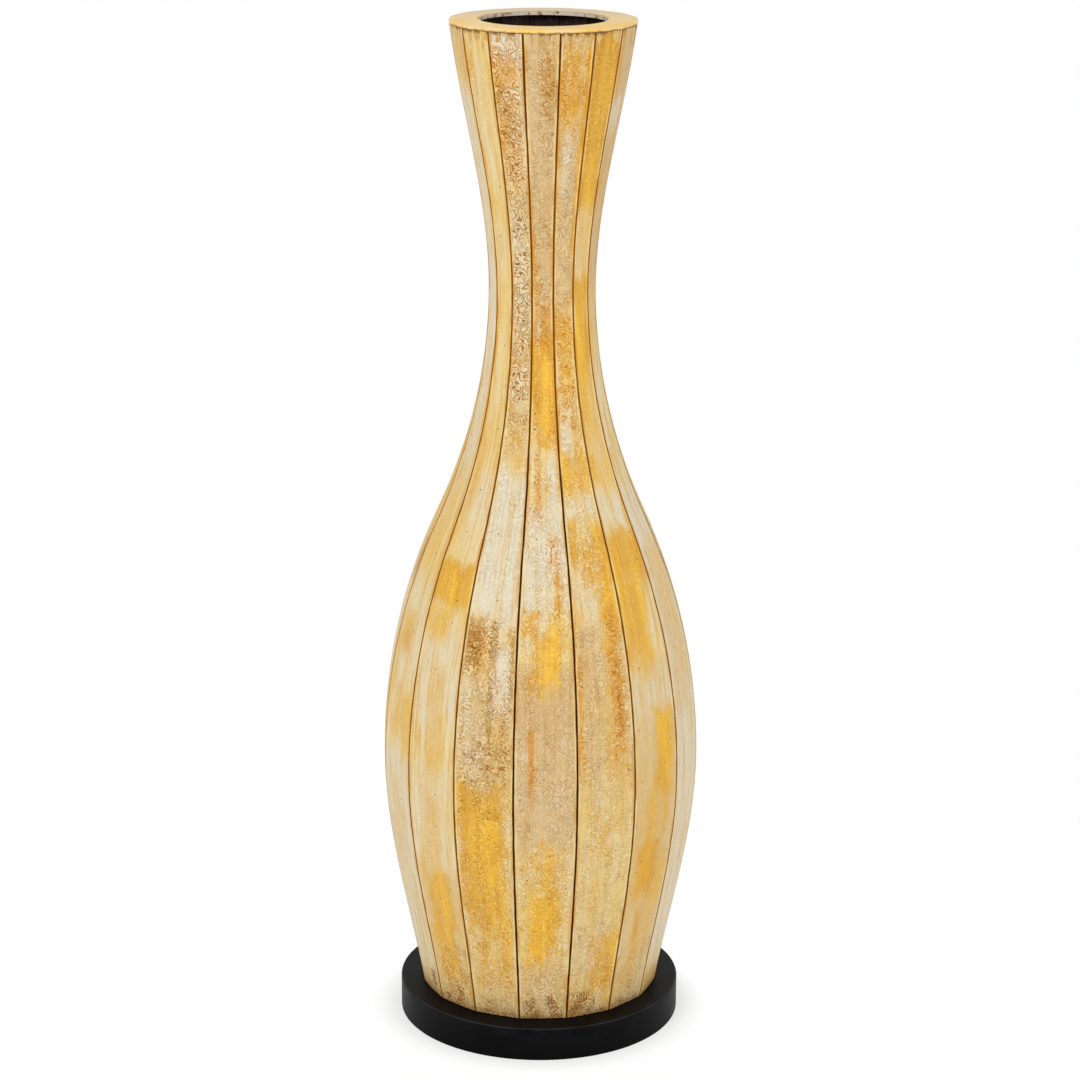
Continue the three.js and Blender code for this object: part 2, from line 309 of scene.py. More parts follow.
def pick(obj, kind, chosen):
    """Opens obj for editing with just the chosen vertices, edges or polygons selected."""
    use_alone(obj)
    for parts in (obj.data.vertices, obj.data.edges, obj.data.polygons):
        parts.foreach_set("select", np.zeros(len(parts), bool))
    getattr(obj.data, kind).foreach_set("select", np.asarray(chosen, bool))
    bpy.context.tool_settings.mesh_select_mode = (kind == "vertices", kind == "edges", kind == "polygons")
    bpy.ops.object.mode_set(mode="EDIT")


def open_whole(obj):
    use_alone(obj)
    bpy.ops.object.mode_set(mode="EDIT")
    bpy.ops.mesh.select_all(action="SELECT")


def modify(obj, kind, **settings):
    """Gives obj a modifier and applies it."""
    modifier = obj.modifiers.new(kind.lower(), kind)
    for name, value in settings.items():
        setattr(modifier, name, value)
    use_alone(obj)
    bpy.ops.object.modifier_apply(modifier=modifier.name)


def newest(name):
    """The piece that was added last, with a name."""
    piece = bpy.context.active_object
    piece.name = name
    return piece


def copy_of(piece):
    use_alone(piece)
    bpy.ops.object.duplicate()
    return bpy.context.active_object


def smooth_up_to(degrees):
    """Shades the piece in use smooth, apart from its edges that are sharper than this."""
    bpy.ops.object.shade_smooth_by_angle(angle=math.radians(degrees))


def keep_flats_flat(obj):
    """Shades the large flat faces flat, with the eased edges round them smooth."""
    modify(obj, "WEIGHTED_NORMAL", keep_sharp=True)


def resize(x, y, z, level=0.0):
    bpy.ops.transform.resize(value=(x, y, z), center_override=(0, 0, level))


def widen(share):
    resize(share, share, 1)


def lean_round(angle):
    bpy.ops.transform.rotate(value=-angle, orient_axis="Z", center_override=(0, 0, 0))


def lift(height):
    bpy.ops.transform.translate(value=(0, 0, height))


def extrude_up(height):
    bpy.ops.mesh.extrude_region_move(TRANSFORM_OT_translate={"value": (0, 0, height)})


def ease(width, steps):
    bpy.ops.mesh.bevel(offset=width, offset_type="OFFSET", segments=steps, profile=0.5, affect="EDGES")


def face_outward():
    bpy.ops.mesh.select_all(action="SELECT")
    bpy.ops.mesh.normals_make_consistent(inside=False)


def crowned_circle(name, steps, radius):
    """A circle with steps edges for each stave, with its joints at radius and its faces crowned."""
    bpy.ops.mesh.primitive_circle_add(vertices=STAVE_COUNT * steps, radius=radius)
    circle = newest(name)
    angle = bearing(points_of(circle))
    from_middle = np.abs((angle + HALF_STAVE) % (2 * HALF_STAVE) - HALF_STAVE)
    for step in range(steps // 2):
        here = HALF_STAVE * 2 * step / steps
        pick(circle, "vertices", np.abs(from_middle - here) < HALF_STAVE / steps)
        widen(crown_at(here))
    bpy.ops.mesh.select_all(action="SELECT")
    return circle


def raise_body():
    """The whole body as one plain wall, grown level by level along the outline."""
    body = crowned_circle("body", FACE_STEPS, float(outline_at(0)))
    lift(FOOT_LEVEL)
    heights = np.linspace(0, STAVE_LENGTH, LEVELS + 1)
    for lower, upper in zip(heights, heights[1:]):
        extrude_up(upper - lower)
        widen(float(outline_at(upper) / outline_at(lower)))
        lean = float(turn_at(upper) - turn_at(lower))
        if lean:
            lean_round(lean)
    use_alone(body)
    first = body.data.polygons[0]
    if first.normal.dot(first.center) < 0:
        open_whole(body)
        bpy.ops.mesh.flip_normals()
    modify(body, "SOLIDIFY", thickness=STAVE_WALL, offset=-1, use_even_offset=True,
           use_quality_normals=True)
    for level, reach in ((FOOT_LEVEL, 1), (FOOT_LEVEL + STAVE_LENGTH, -1)):
        near_end = (points_of(body)[:, 2] - level) * reach < END_REACH
        pick(body, "vertices", near_end)
        resize(1, 1, 0, level)
    return body


def saw_out_stave(body):
    """Leaves the front stave of the body, with mitred edges, its half of each groove and its glue gaps."""
    pick(body, "vertices", np.abs(side_angle(body)) > HALF_STAVE * SAW_CLEAR)
    bpy.ops.mesh.delete(type="VERT")
    use_alone(body)
    for side in (-1, 1):
        ends = edges_of_side(body, side, outer=None)
        pick(body, "edges", ends)
        bpy.ops.mesh.bridge_edge_loops()
        use_alone(body)
        pick(body, "vertices", side_angle(body) * side > HALF_STAVE * ON_SIDE)
        joint = FRONT + side * HALF_STAVE
        back = -side * GLUE_LINE / 2
        bpy.ops.transform.translate(value=(-math.sin(joint) * back, math.cos(joint) * back, 0))
        use_alone(body)
    corners = edges_of_side(body, -1, outer=True) | edges_of_side(body, 1, outer=True)
    pick(body, "edges", corners)
    ease(GROOVE_EASE, 2)
    face_outward()
    bpy.ops.mesh.select_all(action="DESELECT")
    bpy.context.tool_settings.mesh_select_mode = (False, True, False)
    bpy.ops.mesh.edges_select_sharp(sharpness=math.radians(CREASED_FROM))
    bpy.ops.transform.edge_crease(value=1)
    modify(body, "SUBSURF", levels=1, render_levels=1)
    body.name = "stave"
    return body


def side_angle(obj):
    points = points_of(obj)
    angle = bearing(points) - turn_at(points[:, 2] - FOOT_LEVEL)
    return (angle + math.pi) % (2 * math.pi) - math.pi


def edges_of_side(obj, side, outer):
    """Which edges run along one mitred side of the front stave: all, or just those at its face."""
    points = points_of(obj)
    radius, height, _ = around(points)
    on_side = side_angle(obj) * side > HALF_STAVE * ON_SIDE
    if outer:
        on_side &= radius > outline_at(height) - STAVE_WALL / 2
    ends = edges_of(obj)
    upright = np.abs(points[ends[:, 0], 2] - points[ends[:, 1], 2]) > STAVE_LENGTH / LEVELS / 2
    return on_side[ends].all(1) & upright


def face_polygons(obj):
    """Which polygons make up a stave's outer face, without its eased corners."""
    radius, height, angle = around(gather(obj.data.polygons, "center", 3))
    joint = outline_at(height)
    to_side = joint * HALF_STAVE - np.abs(angle) * radius
    close = np.abs(radius - joint * crown_at(angle)) < 4 * NEAR
    inside_ends = (height > NEAR) & (height < STAVE_LENGTH - NEAR)
    return close & (to_side > GLUE_LINE / 2 + GROOVE_EASE) & inside_ends


def refine_face(stave):
    """Cuts a stave's outer face into the fine grid that its carving needs."""
    for cuts, upright in ((ROWS_EACH - 1, True), (COLUMNS_EACH - 1, False)):
        use_alone(stave)
        on_face = face_polygons(stave)
        totals = gather(stave.data.polygons, "loop_total", kind=int)
        corners = gather(stave.data.loops, "edge_index", kind=int)
        chosen = np.zeros(len(stave.data.edges), bool)
        chosen[corners[np.repeat(on_face, totals)]] = True
        points, ends = points_of(stave), edges_of(stave)
        run = np.abs(points[ends[:, 0]] - points[ends[:, 1]])
        runs_up = run[:, 2] > UPRIGHT_FROM * run.max(1)
        pick(stave, "edges", chosen & (runs_up if upright else ~runs_up))
        bpy.ops.mesh.subdivide(number_cuts=cuts)
    use_alone(stave)


def store(obj, name, values, kind="FLOAT"):
    layer = obj.data.attributes.new(name, kind, "POINT")
    field = "vector" if kind == "FLOAT_VECTOR" else "value"
    layer.data.foreach_set(field, np.asarray(values, np.float32).ravel())


def on_board(stave):
    """Each point's place across the stave and up it, its depth under the face, and its angle."""
    radius, height, angle = around(points_of(stave))
    joint = outline_at(height)
    return angle * joint, height, joint * crown_at(angle) - radius, angle


def measure_stave(stave):
    """Gives a stave its board places, its distances from the joints and the mark of its outer face."""
    across, height, depth, angle = on_board(stave)
    edge = outline_at(height) * HALF_STAVE - np.abs(across)
    store(stave, "board", np.stack([across, height, depth], 1), "FLOAT_VECTOR")
    levels = np.linspace(0, STAVE_LENGTH, LEVELS + 1)
    fine = np.interp(levels, FINE_HEIGHTS, FINENESS)
    grown = np.append(0, np.cumsum((fine[1:] + fine[:-1]) / 2 * np.diff(levels)))
    here = np.interp(height, levels, fine)
    carving = np.stack([across * here, np.interp(height, levels, grown), depth * here], 1)
    store(stave, "carving_board", carving, "FLOAT_VECTOR")
    store(stave, "edge", edge)
    store(stave, "face", np.clip(FACE_FULL - depth / FACE_FADE, 0, 1))
    store(stave, "lip", np.clip(1.0 - depth / STAVE_WALL, 0, 1))
    return angle / HALF_STAVE, height * 1000


def lay_out_flat(stave):
    """Unrolls a stave: its face and sides in three tall columns, then its inner side, then both ends."""
    mesh = stave.data
    across, height, depth, _ = on_board(stave)
    totals = gather(mesh.polygons, "loop_total", kind=int)
    corners = gather(mesh.loops, "vertex_index", kind=int)
    starts = np.append(0, np.cumsum(totals)[:-1])

    def spread(values):
        return np.repeat(values, totals)

    def over_piece(values):
        return np.add.reduceat(values[corners], starts) / totals

    middle, deepest = over_piece(height), over_piece(depth)
    end = (middle < NEAR / 2) | (middle > STAVE_LENGTH - NEAR / 2)
    inner = ~end & (deepest > STAVE_WALL * INNER_FROM)
    column = np.clip(middle / STAVE_LENGTH * SHEET_COLUMNS, 0, SHEET_COLUMNS - 1).astype(int)
    up = height[corners] - spread(column) * STAVE_LENGTH / SHEET_COLUMNS + SHEET_MARGIN
    folded = across + np.sign(across) * np.maximum(depth, 0)
    right = folded[corners] + (spread(column) + 0.5) * COLUMN_PITCH
    inner_start = SHEET_COLUMNS * COLUMN_PITCH
    inner_right = across[corners] * INNER_SHARE + inner_start + (spread(column) + 0.5) * INNER_PITCH
    right = np.where(spread(inner), inner_right, right)
    end_start = inner_start + SHEET_COLUMNS * INNER_PITCH + END_MARGIN
    end_right = depth[corners] * END_SHARE + end_start
    end_up = across[corners] + np.where(height[corners] > STAVE_LENGTH / 2, END_PLACES[1], END_PLACES[0])
    right = np.where(spread(end), end_right, right)
    up = np.where(spread(end), end_up, up)
    sheet = mesh.uv_layers.new(name="OFBake")
    places = np.stack([right, up], 1) / SHEET_SIDE
    sheet.data.foreach_set("uv", places.astype(np.float32).ravel())


def stray(along, dice, reach):
    """A soft random wave, for the edge of a patch of paint."""
    total = np.zeros(len(along))
    for wave, share in STRAY_WAVES:
        total += share * np.sin(wave * along + dice.uniform(0, 2 * math.pi))
    return reach * total


def coverage(across, height, patches, dice):
    """How fully some soft, ragged patches cover each point: each is (left, right, top, bottom, strength)."""
    cover = np.zeros(len(height))
    for left, right, top, bottom, strength in patches:
        over = across + stray(height / SIDE_WAVE, dice, SIDE_STRAY * min(1, right - left))
        tall = top - bottom
        up = height + stray(across / END_WAVE, dice, END_STRAY * min(1, tall / STRAYS_FULLY_FROM))
        from_left = over - left + NO_FADE[0] * (left <= -1)
        from_right = right - over + NO_FADE[0] * (right >= 1)
        sides = np.minimum(from_left, from_right) / min(SIDE_FADE, right - left)
        from_top = (top - up + NO_FADE[1] * (top >= PLAN_TOP)) / min(TOP_FADE, 0.6 * tall)
        from_bottom = (up - bottom + NO_FADE[1] * (bottom <= 0)) / min(BOTTOM_FADE, 0.8 * tall)
        inside = np.clip(0.5 + np.minimum(sides, np.minimum(from_top, from_bottom)), 0, 1)
        cover = np.maximum(cover, strength * inside * inside * (3 - 2 * inside))
    return cover


def plan_for(number):
    """The patches of each paint on a stave, from -1 to 1 across and with 1 as a paint's full strength."""
    if number not in WOOD_PLAN["carved"]:
        return generic_plan(number)
    plan = {}
    for paint, stained in WOOD_PLAN.items():
        plan[paint] = []
        for *sides, top, bottom, strength in stained.get(number, []):
            left, right = sides or (-100, 100)
            plan[paint].append((left / 100, right / 100, top, bottom, strength / 100))
    return plan


def generic_plan(number):
    """Patches of the same paints for a stave that the photograph doesn't show."""
    dice = random.Random(100 + number)
    carved = dice.choice((0.15, 0.7, 0.9, 0.2))
    plan = {"carved": [(-1, 1, PLAN_TOP, 0, carved)]}
    paints = (("tan", 3, 860, 160), ("pale", 4, 860, 140), ("gold", 5, 860, 120), ("amber", 4, 860, 60),
              ("umber", 2, 860, 50), ("dirt", 2, 4, 14), ("sun", 2, 860, 60))
    for paint, count, highest, tallest in paints:
        patches = []
        for _ in range(count):
            bottom = dice.uniform(0, highest)
            top = bottom + dice.uniform(0.3, 1) * tallest
            left = dice.uniform(-1.2, 0.2)
            patches.append((left, left + dice.uniform(0.5, 1.6), top, bottom, dice.uniform(0.5, 1.1)))
        plan[paint] = patches
    return plan


class Recipe:
    """A node tree, with the few kinds of node that the finishes use."""

    def __init__(self, tree):
        self.tree = tree
        self.shading = tree.bl_idname == "ShaderNodeTree"

    def node(self, kind, **settings):
        made = self.tree.nodes.new(kind)
        for name, value in settings.items():
            setattr(made, name, value)
        return made

    def feed(self, socket, value):
        if isinstance(value, bpy.types.NodeSocket):
            self.tree.links.new(value, socket)
        else:
            socket.default_value = value

    def fill(self, made, *values, **named):
        """Feeds a node's first sockets in order and others by name, and gives its outputs."""
        for socket, value in zip(made.inputs, values):
            self.feed(socket, value)
        for name, value in named.items():
            self.feed(made.inputs[name], value)
        return made.outputs

    def math(self, operation, *values):
        return self.fill(self.node("ShaderNodeMath", operation=operation), *values)[0]

    def chain(self, operation, total, *values):
        """One operation over all the values, from the first one on."""
        for value in values:
            total = self.math(operation, total, value)
        return total

    def add(self, *values):
        return self.chain("ADD", *values)

    def less(self, value, by):
        return self.math("SUBTRACT", value, by)

    def times(self, *values):
        return self.chain("MULTIPLY", *values)

    def vector(self, operation, *values, **named):
        return self.fill(self.node("ShaderNodeVectorMath", operation=operation), *values, **named)

    def blend(self, *parts):
        """The sum of some values, each times its share."""
        return self.add(*(self.times(value, share) for value, share in parts))

    def swing(self, noise, reach):
        """A noise as a swing to both sides of zero."""
        return self.times(self.less(noise, 0.5), reach)

    def ramp(self, value, low, high):
        """0 up to low and 1 from high on, with a soft step between, or the other way round."""
        made = self.node("ShaderNodeMapRange", interpolation_type="SMOOTHSTEP")
        return self.fill(made, value, low, high, 0.0, 1.0)[0]

    def stretch(self, place, scale):
        return self.vector("MULTIPLY", place, scale)[0]

    def shift(self, place, by):
        return self.vector("ADD", place, by)[0]

    def noise(self, place, scale, detail, roughness=0.5, output=0):
        """Soft noise that changes as fast along each axis as scale says, per metre."""
        place = self.stretch(place, scale)
        made = self.node("ShaderNodeTexNoise")
        return self.fill(made, Vector=place, Scale=1.0, Detail=detail, Roughness=roughness)[output]

    def split(self, place):
        return self.fill(self.node("ShaderNodeSeparateXYZ"), place)

    def place(self):
        return self.node("ShaderNodeTexCoord").outputs["Object"]

    def read(self, name, vector=False):
        if self.shading:
            made = self.node("ShaderNodeAttribute", attribute_name=name)
            return made.outputs["Vector" if vector else "Fac"]
        made = self.node("GeometryNodeInputNamedAttribute", data_type="FLOAT_VECTOR" if vector else "FLOAT")
        made.inputs["Name"].default_value = name
        return next(s for s in made.outputs if s.enabled and s.name == "Attribute")

    def mix(self, share, below, above, blend="MIX"):
        made = self.node("ShaderNodeMix", data_type="RGBA", blend_type=blend, clamp_factor=True)
        self.feed(made.inputs[0], share)
        self.feed(made.inputs[6], below)
        self.feed(made.inputs[7], above)
        return made.outputs[2]

    def coat(self, look, share, strength, above, blend="MIX"):
        """look with another colour over it, as strongly as share times strength says."""
        return self.mix(self.times(share, strength), look, above, blend)


def colour(red, green, blue):
    """A colour of a picture, from 0 to 255, as a shader takes it."""
    levels = [c / 255 for c in (red, green, blue)]
    return tuple(c / 12.92 if c <= 0.04045 else ((c + 0.055) / 1.055) ** 2.4 for c in levels) + (1.0,)


def worms(recipe, board):
    """The carved pattern of curled worms: how much of a ridge and how much of a recess each place is."""
    curl = recipe.noise(board, CURL_SCALE, 0.0, output="Color")
    bend = recipe.shift(curl, (-0.5, -0.5, -0.5))
    place = recipe.shift(board, recipe.stretch(bend, CURL_REACH))
    hills = recipe.noise(place, WORM_SCALE, 0.5)
    wave = recipe.times(recipe.math("PINGPONG", recipe.times(hills, WORM_TURNS), 0.5), 2)
    deep = recipe.ramp(recipe.noise(board, (60, 45, 50), 2), 0.34, 0.54)
    force = recipe.add(0.35, recipe.times(deep, 0.65))
    return recipe.times(recipe.ramp(wave, 0.54, 0.9), force), recipe.times(recipe.ramp(wave, 0.4, 0.1), force)


def own_place(recipe, board="board"):
    """A board place that differs from stave to stave."""
    return recipe.shift(recipe.read(board, True), recipe.read("shift", True))


def carving_tree():
    """Cuts the carving and the wood's slight waves into a stave's outer face."""
    tree = bpy.data.node_groups.new("carving", "GeometryNodeTree")
    tree.interface.new_socket("Geometry", in_out="INPUT", socket_type="NodeSocketGeometry")
    tree.interface.new_socket("Geometry", in_out="OUTPUT", socket_type="NodeSocketGeometry")
    recipe = Recipe(tree)
    entry, leave = recipe.node("NodeGroupInput"), recipe.node("NodeGroupOutput")
    place = own_place(recipe)
    ridge, recess = worms(recipe, own_place(recipe, "carving_board"))
    groove = recipe.less(recipe.add(0.4, recipe.times(recess, 0.6)), recipe.times(ridge, 0.4))
    carved = recipe.math("MINIMUM", recipe.read("carved"), 1.1)
    away = recipe.ramp(recipe.read("edge"), *PLAIN_EDGE)
    grain = recipe.noise(place, (420, 30, 100), 3)
    depth = recipe.times(groove, carved, away, CARVING_DEPTH)
    depth = recipe.add(depth, recipe.times(grain, GRAIN_DEPTH), SKIN)
    outward = recipe.node("GeometryNodeInputNormal").outputs[0]
    move = recipe.vector("SCALE", outward, Scale=recipe.times(depth, recipe.read("face"), -1.0))[0]
    moved = recipe.fill(recipe.node("GeometryNodeSetPosition"), Geometry=entry.outputs[0], Offset=move)
    recipe.fill(leave, moved[0])
    return tree


def new_finish(name):
    finish = bpy.data.materials.new(name)
    finish.use_nodes = True
    recipe = Recipe(finish.node_tree)
    return finish, recipe, finish.node_tree.nodes["Principled BSDF"]


def dress(recipe, shader, look, roughness, height, relief, strength):
    """Gives a shader its colour, its roughness and a fine relief, as deep as relief says."""
    bump = recipe.node("ShaderNodeBump")
    normal = recipe.fill(bump, Strength=strength, Distance=relief, Height=height)[0]
    recipe.feed(shader.inputs["Base Color"], look)
    recipe.fill(shader, Roughness=roughness, Normal=normal)


CREAM = colour(237, 216, 163)
YELLOW_CREAM = colour(236, 205, 126)
PALE = colour(229, 217, 186)
CHALK = colour(226, 218, 198)
TAN = colour(210, 176, 126)
GOLD = colour(224, 168, 48)
BRIGHT_GOLD = colour(246, 192, 50)
AMBER = colour(218, 150, 42)
UMBER = colour(180, 126, 38)
STREAK_TINT = colour(236, 204, 146)
# Painted shade for the carving's recesses; the second one is also browned by stain
RECESS_SHADE_TINT = colour(210, 178, 118)
RECESS_STAIN_AND_SHADE = colour(200, 166, 104)
# Painted highlight for the carving's ridges; the same colour also pales the grain's light streaks
RIDGE_HIGHLIGHT_AND_PALE_GRAIN = colour(112, 102, 74)
# Rubbed cream paint that is partly a painted highlight on the eased corners beside the joints
WORN_CREAM_AND_HIGHLIGHT = colour(244, 220, 150)
WORN_ORANGE = colour(216, 150, 40)
# The joints' own dark colour, with the painted shade of their narrow grooves in it
SEAM_BROWN_AND_SHADE = colour(168, 104, 16)
SEAM_BLACK_AND_SHADE = colour(86, 42, 6)
PIN_HOLE = colour(96, 56, 20)
DIRT = colour(132, 72, 12)
FOOT_DARKENING = colour(160, 108, 44)
TOP_DIRT = colour(188, 132, 48)
TOP_SPECK = colour(126, 80, 22)
INSIDE = colour(40, 20, 11)
INSIDE_WORN = colour(66, 38, 22)
PIN_SPACING = 0.034
PIN_RADIUS = 0.0007

# Where a stave's paint changes by its joints and ends: lengths in metres, from full to none
RUBBED_AND_HIGHLIT_EDGE = (0.0016, 0.0036)
SEAM_EDGE = (0.0007, 0.00125)
SEAM_SWING = 0.0012
FOOT_DARK_BAND = (0.001, 0.009)
FOOT_SWING = -0.05
TOP_DRIP = (0.0, 0.008)
DRIP_SWING = -0.09
TOP_CRUMBS = (0.001, 0.003)
TEAR_GAIN = 4.0  # how sharply the torn edges of a paint follow the wood
STAVE_SHIFT = (0.31, 0, 0.17)  # how far each stave's wood lies from the one before


def pin_holes(recipe, place):
    """1 in the small dark holes that are scattered over the wood."""
    dots = recipe.node("ShaderNodeTexVoronoi", voronoi_dimensions="2D")
    dots = recipe.fill(dots, Vector=place, Scale=1 / PIN_SPACING)
    some = recipe.fill(recipe.node("ShaderNodeSeparateColor"), dots["Color"])[0]
    share = PIN_RADIUS / PIN_SPACING
    near = recipe.ramp(dots["Distance"], share * 1.3, share * 0.7)
    return recipe.times(near, recipe.ramp(some, 0.6, 0.65))


def paint_joints(recipe, look, place):
    """Rubs the paint beside the joints, partly as a painted highlight on their eased corners, and darkens the
    joints themselves with their own colour and painted shade in the grooves; also gives where those lie.
    """
    uneven = recipe.noise(place, (300, 60, 60), 3)
    from_seam = recipe.add(recipe.read("edge"), recipe.swing(uneven, SEAM_SWING))
    warmth = recipe.ramp(recipe.noise(place, (30, 24, 20), 3), 0.42, 0.6)
    edge_band = recipe.mix(warmth, WORN_CREAM_AND_HIGHLIGHT, WORN_ORANGE)
    # Rubbed paint along each joint; its cream part is partly a painted highlight on the eased corners
    look = recipe.coat(look, recipe.ramp(from_seam, RUBBED_AND_HIGHLIT_EDGE[1], RUBBED_AND_HIGHLIT_EDGE[0]), 0.6, edge_band)
    seam = recipe.ramp(from_seam, SEAM_EDGE[1], SEAM_EDGE[0])
    # The joint line: its own dark colour and painted shade in the groove
    return recipe.mix(seam, look, recipe.mix(recipe.read("dark_joint"), SEAM_BROWN_AND_SHADE, SEAM_BLACK_AND_SHADE)), seam


def paint_ends(recipe, look, place, tear):
    """Darkens the staves towards their feet, and lets the ring's brown lacquer run down a little from their
    tops.
    """
    height = recipe.split(recipe.read("board", True))[1]
    from_foot = recipe.add(height, recipe.swing(tear, FOOT_SWING))
    # The staves turn darker towards their feet
    look = recipe.coat(look, recipe.ramp(from_foot, FOOT_DARK_BAND[1], FOOT_DARK_BAND[0]), 0.6, FOOT_DARKENING)
    from_top = recipe.less(STAVE_LENGTH, height)
    drip = recipe.noise(place, (240, 70, 60), 3)
    drips = recipe.ramp(recipe.add(from_top, recipe.swing(drip, DRIP_SWING)), TOP_DRIP[1], TOP_DRIP[0])
    look = recipe.coat(look, drips, 0.45, TOP_DIRT)
    crumbs = recipe.times(recipe.ramp(from_top, TOP_CRUMBS[1], TOP_CRUMBS[0]), recipe.ramp(drip, 0.46, 0.56))
    return recipe.coat(look, crumbs, 0.8, TOP_SPECK)


def stave_finish():
    """Cream and pale lacquer, torn open over gold, amber and brown, with painted shade in the recesses
    (browner where stained) and painted highlights on the ridges.
    """
    finish, recipe, shader = new_finish("stave_lacquer")
    place = own_place(recipe)
    carved = recipe.math("MINIMUM", recipe.read("carved"), 1.0)
    cloud = recipe.noise(place, (60, 12, 20), 3)
    streak = recipe.noise(place, (300, 9, 40), 4, 0.62)
    fibre = recipe.noise(place, (1000, 40, 100), 3, 0.6)
    blot = recipe.noise(place, (130, 75, 100), 5, 0.62)
    crumb = recipe.noise(place, (620, 420, 300), 3, 0.6)
    brushed = recipe.blend((blot, 0.1), (streak, 0.55), (fibre, 0.35))
    crumbled = recipe.blend((blot, 0.4), (streak, 0.1), (crumb, 0.5))
    crumbly = recipe.ramp(carved, 0.2, 0.5)
    tear = recipe.blend((crumbled, crumbly), (brushed, recipe.less(1.0, crumbly)))
    ridge, recess = worms(recipe, own_place(recipe, "carving_board"))
    relief = recipe.times(recipe.less(ridge, recess), carved)

    def torn(paint, softness, ridges=0.0):
        """Where a paint still lies: ridges says how much more of it the ridges keep than the recesses."""
        cover = recipe.read(paint)
        rough = recipe.add(recipe.swing(tear, TEAR_GAIN), recipe.times(relief, ridges))
        left = recipe.ramp(recipe.add(cover, rough), 0.5 - softness, 0.5 + softness)
        return recipe.times(left, recipe.ramp(cover, 0.0, 0.3))

    look = recipe.mix(recipe.ramp(cloud, 0.35, 0.65), CREAM, YELLOW_CREAM)
    look = recipe.coat(look, carved, 0.3, TAN)
    look = recipe.coat(look, torn("tan", 0.5), 0.85, TAN)
    pale = recipe.mix(recipe.ramp(streak, 0.4, 0.62), PALE, CHALK)
    look = recipe.coat(look, torn("pale", 0.5, 0.35), 0.9, pale)
    sunny = recipe.blend((cloud, 0.7), (crumb, 0.7), (recipe.read("sun"), 0.14))
    gold = recipe.mix(recipe.ramp(sunny, 0.68, 0.86), GOLD, BRIGHT_GOLD)
    look = recipe.coat(look, torn("gold", 0.4, -0.3), 0.92, gold)
    look = recipe.coat(look, torn("amber", 0.4, -0.45), 0.75, AMBER)
    look = recipe.coat(look, torn("umber", 0.4, -0.5), 0.72, UMBER)
    grain = recipe.blend((fibre, 0.4), (streak, 0.6))
    plain = recipe.less(0.75, recipe.times(carved, 0.6))
    look = recipe.coat(look, recipe.ramp(grain, 0.52, 0.4), plain, STREAK_TINT, "MULTIPLY")
    light = recipe.times(recipe.ramp(grain, 0.51, 0.62), plain)
    look = recipe.coat(look, light, 0.8, RIDGE_HIGHLIGHT_AND_PALE_GRAIN, "SCREEN")
    # Painted shade in the carving's recesses, browner where the umber stain lies
    stain = recipe.mix(recipe.ramp(recipe.read("umber"), 0.1, 0.8), RECESS_SHADE_TINT, RECESS_STAIN_AND_SHADE)
    look = recipe.coat(look, recess, carved, stain, "MULTIPLY")
    # Painted highlight: the carving's ridges are lightened in the colour
    look = recipe.coat(look, ridge, carved, RIDGE_HIGHLIGHT_AND_PALE_GRAIN, "SCREEN")
    look = recipe.coat(look, torn("dirt", 0.3, -0.8), 0.7, DIRT)
    hole = pin_holes(recipe, place)
    look = recipe.coat(look, hole, 0.8, PIN_HOLE)
    look, seam = paint_joints(recipe, look, place)
    look = paint_ends(recipe, look, place, tear)
    inside = recipe.mix(recipe.ramp(streak, 0.45, 0.65), INSIDE, INSIDE_WORN)
    look = recipe.mix(recipe.ramp(recipe.read("lip"), 0.45, 0.9), inside, look)
    dull = recipe.chain("MAXIMUM", seam, hole, recess)
    gloss = recipe.add(0.36, recipe.times(crumb, 0.26), recipe.times(dull, 0.45))
    height = recipe.blend((relief, 0.4), (fibre, 0.3))
    dress(recipe, shader, look, recipe.math("MINIMUM", gloss, 1.0), height, 0.0006, 0.8)
    shader.inputs["Specular IOR Level"].default_value = 0.25
    return finish


RING_LIGHT = colour(248, 216, 150)
RING_GOLD = colour(250, 204, 112)
RING_BACK_SHADE = colour(222, 200, 158)
RING_WALL = colour(232, 222, 200)
RING_WALL_STAIN = colour(170, 134, 84)
RING_WORN = colour(160, 114, 50)
RING_SPECK = colour(176, 120, 44)
RING_BACK_SHADE_FADE = (-0.02, 0.07)
RING_WEAR = (0.0022, 0.0006)  # how far out from the opening the wear reaches, and where it is full
RING_OUTSIDE = (0.07, 0.072)
RING_KNOTS = (((0.0140, 0.0530, 0.9140), 0.0016), ((0.0767, -0.0100, 0.9150), 0.0011))


def spot(recipe, place, centre, radius):
    """1 in one small round mark."""
    away = recipe.vector("DISTANCE", place, centre)["Value"]
    return recipe.ramp(away, radius, radius * 0.6)


def round_place(recipe):
    """A place on the object, its distance from the axis, and its Y and Z."""
    place = recipe.place()
    x, y, z = recipe.split(place)
    return place, recipe.math("SQRT", recipe.add(recipe.times(x, x), recipe.times(y, y))), y, z


